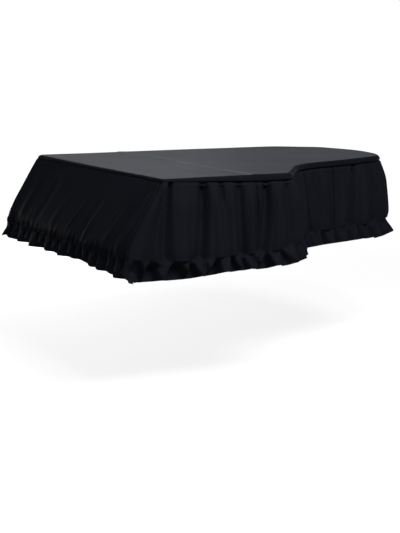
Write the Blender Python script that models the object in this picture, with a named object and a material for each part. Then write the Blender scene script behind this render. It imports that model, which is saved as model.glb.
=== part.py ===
"""Fitted cloth cover for a grand piano.

A flat top in two panels turns down over the edge of the lid. A front panel falls forward over the
keyboard, a treble skirt runs along the cheek, the bent side and the tail, and a spine skirt closes
the bass side. All three are gathered on one line a hand's breadth above the hem, and flare below it.

Metres, +Z up, +X towards the treble side, +Y towards the tail. The origin is under the middle of the
top, where the cloth lies on the lid.
"""
import bisect
import math
import random
from collections import namedtuple

import bmesh
import bpy
from mathutils import Vector

# ---- driving dimensions -------------------------------------------------------------------------

CLOTH = 0.002            # thickness of every sheet
SEAM_GAP = 0.0003        # clearance between two sewn edges
LID_WIDTH = 1.490        # across the keyboard
LID_LENGTH = 1.656       # from the lid's front edge to the tail
CROSS_SEAM = 0.443       # the seam across the top, behind the lid's front edge
EDGE_ROUND = 0.008       # how far in from the lid's edge the cloth begins to turn down
TURN_ANGLES = [math.radians(a) for a in (0, 35, 65, 90)]

FRONT_Y = -LID_LENGTH / 2
TAIL_Y = LID_LENGTH / 2
HALF_WIDTH = LID_WIDTH / 2

# The lid in plan: corners, joined by straight lines and rounded by arcs.
Corner = namedtuple("Corner", "name x y radius")
LID_CORNERS = [
    Corner("bass front", -HALF_WIDTH, FRONT_Y, 0.014),
    Corner("treble front", HALF_WIDTH, FRONT_Y, 0.014),
    Corner("end of cheek", HALF_WIDTH, FRONT_Y + 0.631, 0.080),
    Corner("hollow of bent side", 0.366, FRONT_Y + 0.903, 0.450),
    Corner("waist", 0.252, FRONT_Y + 1.256, 1.200),
    Corner("treble shoulder of tail", 0.084, FRONT_Y + 1.603, 0.300),
    Corner("tail, treble half", -0.189, TAIL_Y, 0.500),
    Corner("tail, bass half", -0.295, TAIL_Y, 0.500),
    Corner("bass shoulder of tail", -0.550, TAIL_Y - 0.046, 0.100),
    Corner("spine end", -0.723, TAIL_Y - 0.251, 0.120),
    Corner("spine", -HALF_WIDTH, TAIL_Y - 0.456, 0.500),
]

# Places along the edge of the lid are distances from the treble front corner: the front panel is at
# negative distances, and the cheek, bent side, tail and spine follow at positive ones.
Edge = namedtuple("Edge", "along depth out")
EDGES = [                    # how far the top turns down over the lid's edge, and stands off it
    Edge(-1.50, 0.010, 0.020),
    Edge(-0.60, 0.009, 0.012),
    Edge(0.00, 0.009, 0.005),
    Edge(0.23, 0.016, 0.007),
    Edge(0.48, 0.024, 0.010),
    Edge(0.66, 0.024, 0.014),
    Edge(0.95, 0.022, 0.012),
    Edge(1.55, 0.022, 0.012),
    Edge(1.90, 0.022, 0.020),
    Edge(3.60, 0.014, 0.020),
    Edge(4.12, 0.010, 0.020),
]
Hang = namedtuple("Hang", "along gathers hem fullness")
HANGS = [                    # drops of the gathered line and the hem, and how full the cloth hangs
    Hang(-1.50, 0.345, 0.418, 1.2),
    Hang(-1.10, 0.345, 0.420, 1.0),
    Hang(-0.50, 0.348, 0.415, 1.0),
    Hang(-0.15, 0.346, 0.424, 1.0),
    Hang(0.00, 0.338, 0.430, 1.0),
    Hang(0.06, 0.352, 0.432, 1.0),
    Hang(0.32, 0.350, 0.416, 1.0),
    Hang(0.52, 0.343, 0.409, 1.1),
    Hang(0.66, 0.322, 0.396, 1.6),
    Hang(0.80, 0.326, 0.402, 1.5),
    Hang(1.10, 0.332, 0.403, 1.0),
    Hang(1.55, 0.334, 0.405, 1.1),
    Hang(1.90, 0.336, 0.408, 1.9),
    Hang(2.60, 0.336, 0.408, 1.8),
    Hang(4.12, 0.345, 0.418, 1.2),
]

# The front panel slopes forward over the keyboard, then hangs.
Slope = namedtuple("Slope", "drop forward")
FALL = [
    Slope(0.000, 0.000),
    Slope(0.255, 0.143),
    Slope(0.302, 0.154),
    Slope(0.336, 0.149),
    Slope(0.370, 0.162),
    Slope(0.415, 0.179),
]
FAN_REACH = 0.10             # how far back from the front corners the skirts are drawn forward
CORNER_BLEND = 0.03          # half the stretch over which front panel and skirt change places

# Rows of the cloth between the seam under the top and the gathered line, and below it.
Row = namedtuple("Row", "upper lower stand_out")
ROWS = [                     # upper: share of the way to the gathers; lower: share of the ruffle
    Row(0.00, 0.0, 0.000),
    Row(0.08, 0.0, 0.004),
    Row(0.28, 0.0, 0.012),
    Row(0.52, 0.0, 0.017),
    Row(0.76, 0.0, 0.021),
    Row(0.92, 0.0, 0.022),
    Row(1.00, 0.0, 0.019),
    Row(1.00, 0.5, 0.028),
    Row(1.00, 1.0, 0.038),
]

# Hanging folds: where the crest is at the top and at the gathers, its half width, how far it stands
# out (or in), and the shares of the drop between which it is full.
Fold = namedtuple("Fold", "top foot half_width out rise fade")
FOLDS = [
    # front panel: tight creases that fan from the treble corner, then broad shallow ones
    Fold(-0.020, -0.038, 0.028, -0.010, 0.12, 0.92),
    Fold(-0.052, -0.135, 0.036, 0.008, 0.30, 0.95),
    Fold(-0.095, -0.200, 0.045, -0.005, 0.30, 0.90),
    Fold(-0.150, -0.300, 0.060, 0.003, 0.40, 0.90),
    Fold(-0.390, -0.512, 0.045, 0.004, 0.42, 0.95),
    Fold(-0.560, -0.750, 0.050, 0.003, 0.40, 0.85),
    Fold(-0.800, -0.930, 0.070, 0.003, 0.45, 0.90),
    Fold(-1.060, -1.140, 0.080, -0.003, 0.35, 0.90),
    Fold(-1.300, -1.340, 0.080, 0.004, 0.35, 0.90),
    # cheek
    Fold(0.042, 0.046, 0.022, -0.010, 0.10, 0.90),
    Fold(0.090, 0.092, 0.045, 0.011, 0.12, 0.96),
    Fold(0.208, 0.190, 0.032, -0.014, 0.08, 0.96),
    Fold(0.243, 0.268, 0.038, 0.009, 0.10, 0.92),
    Fold(0.323, 0.332, 0.034, 0.008, 0.12, 0.92),
    Fold(0.376, 0.382, 0.028, -0.010, 0.10, 0.92),
    Fold(0.427, 0.425, 0.032, 0.010, 0.10, 0.92),
    Fold(0.512, 0.485, 0.034, -0.012, 0.10, 0.94),
    Fold(0.560, 0.548, 0.030, 0.008, 0.12, 0.90),
    Fold(0.618, 0.624, 0.027, -0.010, 0.10, 0.92),
    Fold(0.668, 0.672, 0.036, 0.010, 0.10, 0.96),
    # diagonal and bent side
    Fold(0.735, 0.728, 0.030, -0.011, 0.10, 0.95),
    Fold(0.790, 0.790, 0.036, 0.009, 0.12, 0.92),
    Fold(0.845, 0.850, 0.030, -0.009, 0.10, 0.92),
    Fold(0.905, 0.915, 0.038, 0.008, 0.12, 0.92),
    Fold(0.968, 0.960, 0.030, -0.009, 0.10, 0.95),
    Fold(1.025, 1.030, 0.038, 0.008, 0.12, 0.92),
    Fold(1.100, 1.145, 0.028, -0.012, 0.10, 0.95),
    Fold(1.265, 1.275, 0.050, 0.009, 0.10, 0.92),
    Fold(1.350, 1.350, 0.026, -0.008, 0.10, 0.85),
    Fold(1.402, 1.400, 0.034, 0.005, 0.15, 0.90),
    Fold(1.530, 1.492, 0.036, -0.017, 0.08, 0.98),
    Fold(1.596, 1.590, 0.038, 0.010, 0.10, 0.94),
    Fold(1.690, 1.705, 0.040, -0.010, 0.40, 0.98),
    Fold(1.765, 1.770, 0.042, 0.009, 0.12, 0.92),
    Fold(1.840, 1.830, 0.030, -0.010, 0.12, 0.95),
    Fold(1.893, 1.893, 0.036, 0.008, 0.12, 0.92),
]
# The tail and the spine hang in the same uneven way, in folds spaced by a rule.
FAR_FOLDS_START = 1.945
FAR_FOLDS_MARGIN = 0.12      # they stop this far before the bass front corner
FAR_FOLD_PITCH = 0.105
FAR_TROUGH = 0.030           # half width of a trough; a ridge takes this share of the pitch:
FAR_RIDGE_SHARE = 0.37

# The ruffle below the gathers.
SCALLOP_PITCH = 0.0930       # 16 scallops across the front
PITCH_UNEVENNESS = 0.16      # share of the pitch
FRONT_SCALLOP = 0.014        # half the depth of a scallop at the hem
SIDE_SCALLOP = 0.009
PUCKER = 0.003               # half the depth of the puckers on the gathered line

# Fineness of the faceted pieces.
ARC_STEP_ANGLE = math.radians(14)
ARC_STEP = 0.06
SKIRT_STEP = 0.025
FAR_STEP = 0.032
FAN_STEP = 0.013            # beside the front corners

# ---- plan of the lid ----------------------------------------------------------------------------

Piece = namedtuple("Piece", "start end centre radius angle turn length")


def plan_pieces(corners):
    """The outline as straight pieces and arcs, from the first corner's arc, counter-clockwise."""
    arcs = []
    for before, corner, after in zip(corners[-1:] + corners[:-1], corners, corners[1:] + corners[:1]):
        here = Vector((corner.x, corner.y))
        came = (here - Vector((before.x, before.y))).normalized()
        leaves = (Vector((after.x, after.y)) - here).normalized()
        turn = math.atan2(came.x * leaves.y - came.y * leaves.x, came.dot(leaves))
        reach = corner.radius * math.tan(abs(turn) / 2)
        side = math.copysign(1.0, turn)
        start = here - came * reach
        centre = start + side * corner.radius * Vector((-came.y, came.x))
        arcs.append((start, here + leaves * reach, centre, corner.radius, turn))
    pieces = []
    for arc, following in zip(arcs, arcs[1:] + arcs[:1]):
        start, end, centre, radius, turn = arc
        angle = math.atan2(start.y - centre.y, start.x - centre.x)
        pieces.append(Piece(start, end, centre, radius, angle, turn, radius * abs(turn)))
        run = following[0] - end
        pieces.append(Piece(end, following[0], None, 0.0, 0.0, 0.0, run.length))
    return pieces


PIECES = plan_pieces(LID_CORNERS)
STARTS = [sum(piece.length for piece in PIECES[:i]) for i in range(len(PIECES))]
AROUND = sum(piece.length for piece in PIECES)
BASS_CORNER = PIECES[0].length / 2                       # middle of the first corner's arc
TREBLE_CORNER = STARTS[2] + PIECES[2].length / 2         # middle of the second corner's arc
FRONT_LENGTH = TREBLE_CORNER - BASS_CORNER


def on_lid(along):
    """Point on the lid's edge and the outward direction there, at a distance from the treble corner."""
    travelled = (along + TREBLE_CORNER) % AROUND
    i = bisect.bisect_right(STARTS, travelled) - 1
    piece = PIECES[i]
    part = travelled - STARTS[i]
    if piece.centre is None:
        way = (piece.end - piece.start).normalized()
        return piece.start + way * part, Vector((way.y, -way.x))
    side = math.copysign(1.0, piece.turn)
    angle = piece.angle + side * part / piece.radius
    ray = Vector((math.cos(angle), math.sin(angle)))
    return piece.centre + ray * piece.radius, ray * side


def along_of(piece_index, share=0.5):
    """Distance from the treble corner of a place on one piece of the outline."""
    return STARTS[piece_index] + PIECES[piece_index].length * share - TREBLE_CORNER


SIDE_SEAM = along_of(17)                                 # treble skirt meets spine skirt
CHEEK_CROSS_SEAM = CROSS_SEAM + FRONT_LENGTH / 2 - HALF_WIDTH
LOOP_END = AROUND - FRONT_LENGTH                         # the bass front corner again

# ---- rules for the hang of the cloth ------------------------------------------------------------


def between(table, x):
    """Straight-line reading of a table by its first column: the other columns there."""
    x = min(max(x, table[0][0]), table[-1][0])
    for low, high in zip(table, table[1:]):
        if x <= high[0]:
            share = (x - low[0]) / (high[0] - low[0])
            return [a + (b - a) * share for a, b in zip(low[1:], high[1:])]
    return list(table[-1][1:])


def smooth(low, high, x):
    """0 below low, 1 above high, and a soft step between them."""
    share = min(max((x - low) / (high - low), 0.0), 1.0)
    return share * share * (3 - 2 * share)


def bump(x):
    """A round crest: 1 in the middle, 0 from one half width away."""
    return 0.5 + 0.5 * math.cos(math.pi * x) if abs(x) < 1 else 0.0


def far_folds():
    """Folds of the tail and the spine: troughs and ridges in turn, unevenly spaced."""
    draw = random.Random(11)
    folds = []
    along = FAR_FOLDS_START
    while along < LOOP_END - FAR_FOLDS_MARGIN:
        pitch = FAR_FOLD_PITCH * draw.uniform(0.7, 1.3)
        lean = draw.uniform(-0.025, 0.025)
        depth = draw.uniform(0.007, 0.014)
        height = draw.uniform(0.006, 0.011)
        folds.append(Fold(along, along + lean, FAR_TROUGH, -depth, 0.08, 0.95))
        middle = along + pitch / 2
        folds.append(Fold(middle, middle + lean, pitch * FAR_RIDGE_SHARE, height, 0.12, 0.92))
        along += pitch
    return folds


ALL_FOLDS = FOLDS + far_folds()


def fold_out(along, upper):
    """How far the hanging folds push the cloth out, at a share of the drop to the gathers."""
    out = 0.0
    for fold in ALL_FOLDS:
        crest = fold.top + (fold.foot - fold.top) * upper
        strength = smooth(0.0, fold.rise, upper) * (1 - 0.7 * smooth(fold.fade - 0.2, 1.0, upper))
        out += fold.out * strength * bump((along - crest) / fold.half_width)
    return out


def scallop_crests():
    """Crests of the ruffle all the way round, one pitch apart with a little unevenness."""
    draw = random.Random(5)
    count = round(AROUND / SCALLOP_PITCH)
    pitch = AROUND / count
    uneven = PITCH_UNEVENNESS * pitch
    return [-FRONT_LENGTH + (i + 0.5) * pitch + draw.uniform(-uneven, uneven) / 2 for i in range(count)]


CRESTS = scallop_crests()


def scallop(along):
    """The ruffle's wave: 1 on a crest, -1 in the valley between two crests."""
    crests = [CRESTS[-1] - AROUND] + CRESTS + [CRESTS[0] + AROUND]
    i = min(max(bisect.bisect_right(crests, along), 1), len(crests) - 1)
    share = (along - crests[i - 1]) / (crests[i] - crests[i - 1])
    return math.cos(2 * math.pi * share)


def past_corner(along):
    """Distance past the nearer front corner, on to a skirt; below 0 on the front panel."""
    from_middle = (along + FRONT_LENGTH / 2) % AROUND
    return min(from_middle, AROUND - from_middle) - FRONT_LENGTH / 2


def on_front(along):
    """1 on the front panel, 0 on the skirts, with a soft change at both front corners."""
    return 1 - smooth(-CORNER_BLEND, CORNER_BLEND, past_corner(along))


def drawn_forward(along):
    """Share of the front panel's forward fall that the cloth takes here."""
    return min(1.0, max(0.0, 1 - past_corner(along) / FAN_REACH))


def cloth_point(along, row):
    """A point on the outer side of the hanging cloth."""
    place, outward = on_lid(along)
    edge_depth, edge_out = between(EDGES, along)
    gathers, hem, fullness = between(HANGS, along)
    drop = (gathers - edge_depth) * row.upper + (hem - gathers) * row.lower
    z = -edge_depth - SEAM_GAP - drop
    front = on_front(along)
    out = edge_out + row.stand_out * fullness * (1 - front)
    out += fold_out(along, row.upper) * (1 - row.lower)
    depth = SIDE_SCALLOP + (FRONT_SCALLOP - SIDE_SCALLOP) * front
    out += scallop(along) * depth * row.lower
    out += scallop(along) * PUCKER * smooth(0.7, 1.0, row.upper) * (1 - row.lower)
    forward = between(FALL, drop)[0] * drawn_forward(along)
    return Vector((place.x + outward.x * out, place.y + outward.y * out - forward, z))


# ---- meshes -------------------------------------------------------------------------------------


def make_object(name, verts, faces, colour, roughness):
    """One closed cloth piece with its own material."""
    mesh = bpy.data.meshes.new(name)
    build = bmesh.new()
    points = [build.verts.new(v) for v in verts]
    for face in faces:
        build.faces.new([points[i] for i in face])
    bmesh.ops.recalc_face_normals(build, faces=build.faces)
    build.to_mesh(mesh)
    build.free()
    material = bpy.data.materials.new(name)
    material.use_nodes = True
    shader = material.node_tree.nodes["Principled BSDF"]
    shader.inputs["Base Color"].default_value = (*colour, 1.0)
    shader.inputs["Roughness"].default_value = roughness
    shader.inputs["Metallic"].default_value = 0.0
    mesh.materials.append(material)
    mesh.shade_smooth()
    mesh.set_sharp_from_angle(angle=math.radians(50))
    obj = bpy.data.objects.new(name, mesh)
    bpy.context.scene.collection.objects.link(obj)
    return obj


def grid_faces(columns, rows):
    """Faces of a closed sheet whose outer and inner points are stored column by column."""
    outer = [[i * rows + j for j in range(rows)] for i in range(columns)]
    inner = [[columns * rows + k for k in line] for line in outer]
    faces = []
    for i in range(columns - 1):
        for j in range(rows - 1):
            faces.append([outer[i][j], outer[i + 1][j], outer[i + 1][j + 1], outer[i][j + 1]])
            faces.append([inner[i][j], inner[i][j + 1], inner[i + 1][j + 1], inner[i + 1][j]])
        for j in (0, rows - 1):
            faces.append([outer[i][j], inner[i][j], inner[i + 1][j], outer[i + 1][j]])
    for i in (0, columns - 1):
        for j in range(rows - 1):
            faces.append([outer[i][j], outer[i][j + 1], inner[i][j + 1], inner[i][j]])
    return faces


def hanging_piece(name, stations, colour):
    """A sheet that hangs between two vertical seams, through the given places along the lid."""
    reach = 0.004                                        # step for reading the cloth's direction
    outer, inner = [], []
    for along in stations:
        _, outward = on_lid(along)
        tangent = Vector((-outward.y, outward.x, 0.0))
        end = (along == stations[0]) - (along == stations[-1])
        shift = tangent * (end * SEAM_GAP * 0.55)
        for i, row in enumerate(ROWS):
            point = cloth_point(along, row)
            across = cloth_point(along + reach, row) - cloth_point(along - reach, row)
            above = cloth_point(along, ROWS[max(i - 1, 0)])
            below = cloth_point(along, ROWS[min(i + 1, len(ROWS) - 1)])
            normal = (above - below).cross(across).normalized() * -1
            if i == 0:
                normal = Vector((outward.x, outward.y, 0.0))
            elif normal.x * outward.x + normal.y * outward.y < 0:
                normal.negate()
            outer.append(point + shift)
            inner.append(point - normal * CLOTH + shift)
    return make_object(name, outer + inner, grid_faces(len(stations), len(ROWS)), colour, 0.55)


def turned_edge(depth, out):
    """Section of the top's edge, out from the lid and up: down the outer side, up the inner side."""
    outer, inner = [], []
    for angle in TURN_ANGLES:
        c, s = math.cos(angle), math.sin(angle)
        reach, fall = EDGE_ROUND + out, depth + CLOTH
        point = (-EDGE_ROUND + reach * s, CLOTH - fall * (1 - c))
        steep = math.hypot(fall * s, reach * c)
        outer.append(point)
        inner.append((point[0] - CLOTH * fall * s / steep, point[1] - CLOTH * reach * c / steep))
    return outer + inner[::-1]


def top_piece(name, stations, colour):
    """A flat panel with its turned-down edge, between the two ends of the cross seam."""
    verts = []
    for along in stations:
        place, outward = on_lid(along)
        for out, z in turned_edge(*between(EDGES, along if along > -1.5 else along + AROUND)):
            verts.append((place.x + outward.x * out, place.y + outward.y * out, z))
    size = 2 * len(TURN_ANGLES)
    last = len(stations) - 1
    faces = []
    for i in range(last):
        for j in range(size - 1):
            a, b = i * size + j, (i + 1) * size + j
            faces.append([a, b, b + 1, a + 1])
    faces.append([i * size for i in range(last + 1)])                        # upper side
    faces.append([i * size + size - 1 for i in range(last + 1)])             # under side
    for i in (0, last):
        faces.append([i * size + j for j in range(size)])                    # end of the turned edge
    faces.append([0, last * size, last * size + size - 1, size - 1])         # along the cross seam
    return make_object(name, verts, faces, colour, 0.5)


def spread(start, end, step):
    """Even stations from start to end, no further apart than step."""
    count = math.ceil((end - start) / step)
    return [start + (end - start) * i / count for i in range(count + 1)]


def edge_stations(start, end):
    """Stations for the top: ends of straight stretches, points on arcs, and changes of edge depth."""
    places = {start, end}
    for piece, travelled in zip(PIECES, STARTS):
        if piece.centre is None:
            continue
        steps = max(2, math.ceil(abs(piece.turn) / ARC_STEP_ANGLE), math.ceil(piece.length / ARC_STEP))
        for k in range(steps + 1):
            along = travelled - TREBLE_CORNER + piece.length * k / steps
            places.update((along, along + AROUND))
    places.update(row.along + lap for row in EDGES for lap in (-AROUND, 0.0))
    inside = sorted(p for p in places if start <= p <= end)
    return [p for i, p in enumerate(inside) if i == 0 or p - inside[i - 1] > 0.0005]


def clear_scene():
    for obj in list(bpy.data.objects):
        bpy.data.objects.remove(obj, do_unlink=True)


def main():
    clear_scene()
    corner = PIECES[0].length / 2
    seam_clear = SEAM_GAP / 2
    spine_cross_seam = LOOP_END - CHEEK_CROSS_SEAM
    front_edge = edge_stations(-FRONT_LENGTH - CHEEK_CROSS_SEAM + seam_clear, CHEEK_CROSS_SEAM - seam_clear)
    main_edge = edge_stations(CHEEK_CROSS_SEAM + seam_clear, spine_cross_seam - seam_clear)
    top_piece("top_front_panel", front_edge, (0.030, 0.032, 0.038))
    top_piece("top_main_panel", main_edge, (0.024, 0.026, 0.032))

    quarter = SCALLOP_PITCH / 4
    front = [-FRONT_LENGTH] + spread(corner - FRONT_LENGTH, -corner, quarter) + [0.0]
    treble = [0.0] + spread(corner, FAN_REACH, FAN_STEP)[:-1] + spread(FAN_REACH, SIDE_SEAM, SKIRT_STEP)
    spine = spread(SIDE_SEAM, LOOP_END - FAN_REACH, FAR_STEP)[:-1]
    spine += spread(LOOP_END - FAN_REACH, LOOP_END - corner, FAN_STEP) + [LOOP_END]
    hanging_piece("front_panel", front, (0.010, 0.011, 0.014))
    hanging_piece("treble_skirt", treble, (0.011, 0.012, 0.015))
    hanging_piece("spine_skirt", spine, (0.011, 0.012, 0.015))


main()
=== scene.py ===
"""Looks for a fitted grand piano cover: fine cloth, seams, stitches, materials, light and camera."""
import bisect
import math
import random
from collections import namedtuple

import bmesh
import bpy
import numpy as np
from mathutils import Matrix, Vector, geometry


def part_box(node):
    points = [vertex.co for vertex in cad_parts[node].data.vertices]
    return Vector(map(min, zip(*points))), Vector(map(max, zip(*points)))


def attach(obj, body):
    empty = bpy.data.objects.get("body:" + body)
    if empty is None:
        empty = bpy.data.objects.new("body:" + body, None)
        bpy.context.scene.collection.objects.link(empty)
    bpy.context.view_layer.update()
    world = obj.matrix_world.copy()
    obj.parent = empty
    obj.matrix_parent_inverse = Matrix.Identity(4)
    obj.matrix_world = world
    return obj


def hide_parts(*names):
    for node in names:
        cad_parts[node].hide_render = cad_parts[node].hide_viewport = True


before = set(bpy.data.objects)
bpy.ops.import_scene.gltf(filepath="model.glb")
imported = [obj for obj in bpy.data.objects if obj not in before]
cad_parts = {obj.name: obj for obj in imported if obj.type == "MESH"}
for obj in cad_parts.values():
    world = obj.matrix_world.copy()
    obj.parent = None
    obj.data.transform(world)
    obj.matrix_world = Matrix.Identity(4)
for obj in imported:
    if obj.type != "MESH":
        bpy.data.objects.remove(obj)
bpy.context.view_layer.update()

# ---- sizes of the cover, in metres ---------------------------------------------------------------

TOP_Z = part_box("top_main_panel")[1][2]       # upper side of the cloth on the lid
LID_WIDTH = 1.490
LID_LENGTH = 1.656
CROSS_SEAM = 0.443                           # seam across the top, behind the lid's front edge
EDGE_ROUND = 0.008                           # how far in from the edge the cloth begins to turn down
CLOTH = 0.0015                               # thickness of the visible sheets
FRONT_Y = -LID_LENGTH / 2
TAIL_Y = LID_LENGTH / 2
HALF_WIDTH = LID_WIDTH / 2
FLOOR_DROP = 1.015                           # the floor, below the top

Corner = namedtuple("Corner", "name x y radius")
LID_CORNERS = [
    Corner("bass front", -HALF_WIDTH, FRONT_Y, 0.014),
    Corner("treble front", HALF_WIDTH, FRONT_Y, 0.014),
    Corner("end of cheek", HALF_WIDTH, FRONT_Y + 0.631, 0.080),
    Corner("hollow of bent side", 0.366, FRONT_Y + 0.903, 0.450),
    Corner("waist", 0.252, FRONT_Y + 1.256, 1.200),
    Corner("treble shoulder of tail", 0.084, FRONT_Y + 1.603, 0.300),
    Corner("tail, treble half", -0.189, TAIL_Y, 0.500),
    Corner("tail, bass half", -0.295, TAIL_Y, 0.500),
    Corner("bass shoulder of tail", -0.550, TAIL_Y - 0.046, 0.100),
    Corner("spine end", -0.723, TAIL_Y - 0.251, 0.120),
    Corner("spine", -HALF_WIDTH, TAIL_Y - 0.456, 0.500),
]

# Places along the lid's edge are distances from the treble front corner, negative on the front.
Edge = namedtuple("Edge", "along depth out")
EDGES = [
    Edge(-1.50, 0.010, 0.020),
    Edge(-0.60, 0.009, 0.012),
    Edge(0.00, 0.009, 0.005),
    Edge(0.23, 0.016, 0.007),
    Edge(0.48, 0.024, 0.010),
    Edge(0.66, 0.024, 0.014),
    Edge(0.95, 0.022, 0.012),
    Edge(1.55, 0.022, 0.012),
    Edge(1.90, 0.022, 0.020),
    Edge(3.60, 0.014, 0.020),
    Edge(4.12, 0.010, 0.020),
]
Hang = namedtuple("Hang", "along gathers hem fullness")
HANGS = [
    Hang(-1.50, 0.345, 0.418, 1.2),
    Hang(-1.10, 0.345, 0.420, 1.0),
    Hang(-0.50, 0.348, 0.415, 1.0),
    Hang(-0.15, 0.346, 0.424, 1.0),
    Hang(0.00, 0.338, 0.430, 1.0),
    Hang(0.06, 0.352, 0.432, 1.0),
    Hang(0.32, 0.350, 0.416, 1.0),
    Hang(0.52, 0.343, 0.409, 1.1),
    Hang(0.66, 0.322, 0.396, 1.6),
    Hang(0.80, 0.326, 0.402, 1.5),
    Hang(1.10, 0.332, 0.403, 1.0),
    Hang(1.55, 0.334, 0.405, 1.1),
    Hang(1.90, 0.336, 0.408, 1.9),
    Hang(2.60, 0.336, 0.408, 1.8),
    Hang(4.12, 0.345, 0.418, 1.2),
]
Slope = namedtuple("Slope", "drop forward")
FALL = [                                     # the front slopes over the keyboard, then hangs
    Slope(0.000, 0.000),
    Slope(0.130, 0.073),
    Slope(0.240, 0.135),
    Slope(0.290, 0.156),
    Slope(0.318, 0.161),
    Slope(0.336, 0.161),
    Slope(0.370, 0.168),
    Slope(0.425, 0.182),
]
FAN_REACH = 0.10             # how far back from the front corners the skirts are drawn forward
CORNER_BLEND = 0.03          # the front's hang turns into the skirts' within this of a front corner
FRONT_ENDS = 0.02            # and the manner of its folds and ruffle within this
TUCK_LEVELS = (0.010, 0.045)             # the skirts come out from behind the top's edge between these
TUCK = 0.003                 # how far in they are tucked on the front
TUCK_SKIRT = 0.011           # and how much further on the skirts
TUCK_SKIRT_FROM, TUCK_SKIRT_TO = 0.05, 0.40   # the tuck deepens between these places on the cheek
TUCKED_UP = 0.005            # the first row of the cloth is this far up behind the edge

Profile = namedtuple("Profile", "level out")
STAND_OUT = [                # out from the seam under the top; levels above 1 are in the ruffle
    Profile(0.00, 0.000),
    Profile(0.06, 0.003),
    Profile(0.28, 0.012),
    Profile(0.52, 0.017),
    Profile(0.76, 0.021),
    Profile(0.91, 0.022),
    Profile(1.00, 0.019),
    Profile(1.20, 0.022),
    Profile(1.50, 0.028),
    Profile(2.00, 0.038),
]

# Hanging folds. Where the crest is at the top, half way and at the gathers; half widths at the top
# and at the gathers; how far it stands out (or in); the levels where it is full; how crisp it is.
Fold = namedtuple("Fold", "top mid foot wide_top wide_foot out rise fade crisp")
FRONT_FOLDS = [
    Fold(0.003, 0.004, 0.002, 0.006, 0.009, 0.007, 0.06, 0.90, 0.9),
    Fold(-0.010, -0.013, -0.022, 0.008, 0.013, -0.034, 0.05, 0.95, 0.9),
    Fold(-0.040, -0.070, -0.135, 0.016, 0.022, 0.010, 0.12, 0.98, 0.8),
    Fold(-0.080, -0.125, -0.200, 0.030, 0.040, -0.004, 0.30, 0.90, 0.2),
    Fold(-0.150, -0.210, -0.300, 0.050, 0.050, 0.003, 0.40, 0.90, 0.2),
    Fold(-0.230, -0.270, -0.340, 0.022, 0.026, 0.002, 0.30, 0.70, 0.5),
    Fold(-0.390, -0.450, -0.512, 0.026, 0.024, 0.004, 0.42, 0.95, 0.6),
    Fold(-0.430, -0.500, -0.560, 0.040, 0.050, -0.003, 0.45, 0.90, 0.2),
    Fold(-0.560, -0.650, -0.750, 0.028, 0.026, 0.003, 0.40, 0.85, 0.5),
    Fold(-0.800, -0.860, -0.930, 0.050, 0.050, 0.003, 0.45, 0.90, 0.2),
    Fold(-1.060, -1.080, -1.140, 0.060, 0.050, -0.003, 0.35, 0.90, 0.2),
    Fold(-1.300, -1.310, -1.340, 0.060, 0.060, 0.004, 0.35, 0.90, 0.2),
]
CHEEK_FOLDS = [
    Fold(0.012, 0.028, 0.040, 0.012, 0.028, 0.030, -0.10, 1.30, 1.0),
    Fold(0.036, 0.053, 0.062, 0.013, 0.020, -0.030, -0.05, 1.10, 0.4),
    Fold(0.088, 0.092, 0.090, 0.044, 0.036, 0.011, 0.12, 0.96, 0.0),
    Fold(0.160, 0.160, 0.155, 0.034, 0.034, 0.002, 0.15, 0.90, 0.0),
    Fold(0.200, 0.192, 0.180, 0.021, 0.036, -0.016, 0.06, 0.98, 0.6),
    Fold(0.241, 0.254, 0.266, 0.030, 0.036, 0.008, 0.10, 0.95, 0.0),
    Fold(0.284, 0.282, 0.280, 0.013, 0.004, -0.008, 0.04, 0.34, 0.5),
    Fold(0.323, 0.325, 0.332, 0.030, 0.032, 0.008, 0.12, 0.92, 0.0),
    Fold(0.375, 0.378, 0.382, 0.020, 0.024, -0.010, 0.08, 0.92, 0.4),
    Fold(0.427, 0.425, 0.425, 0.026, 0.030, 0.009, 0.10, 0.92, 0.0),
    Fold(0.459, 0.459, 0.457, 0.006, 0.008, -0.004, 0.06, 0.90, 0.9),
    Fold(0.485, 0.484, 0.480, 0.010, 0.006, 0.005, 0.04, 0.38, 0.6),
    Fold(0.513, 0.506, 0.483, 0.020, 0.030, -0.013, 0.08, 0.94, 0.4),
    Fold(0.560, 0.556, 0.548, 0.026, 0.030, 0.008, 0.10, 0.88, 0.0),
    Fold(0.618, 0.618, 0.624, 0.018, 0.022, -0.010, 0.10, 0.92, 0.4),
    Fold(0.668, 0.668, 0.672, 0.032, 0.034, 0.011, 0.08, 0.96, 0.1),
]
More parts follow.
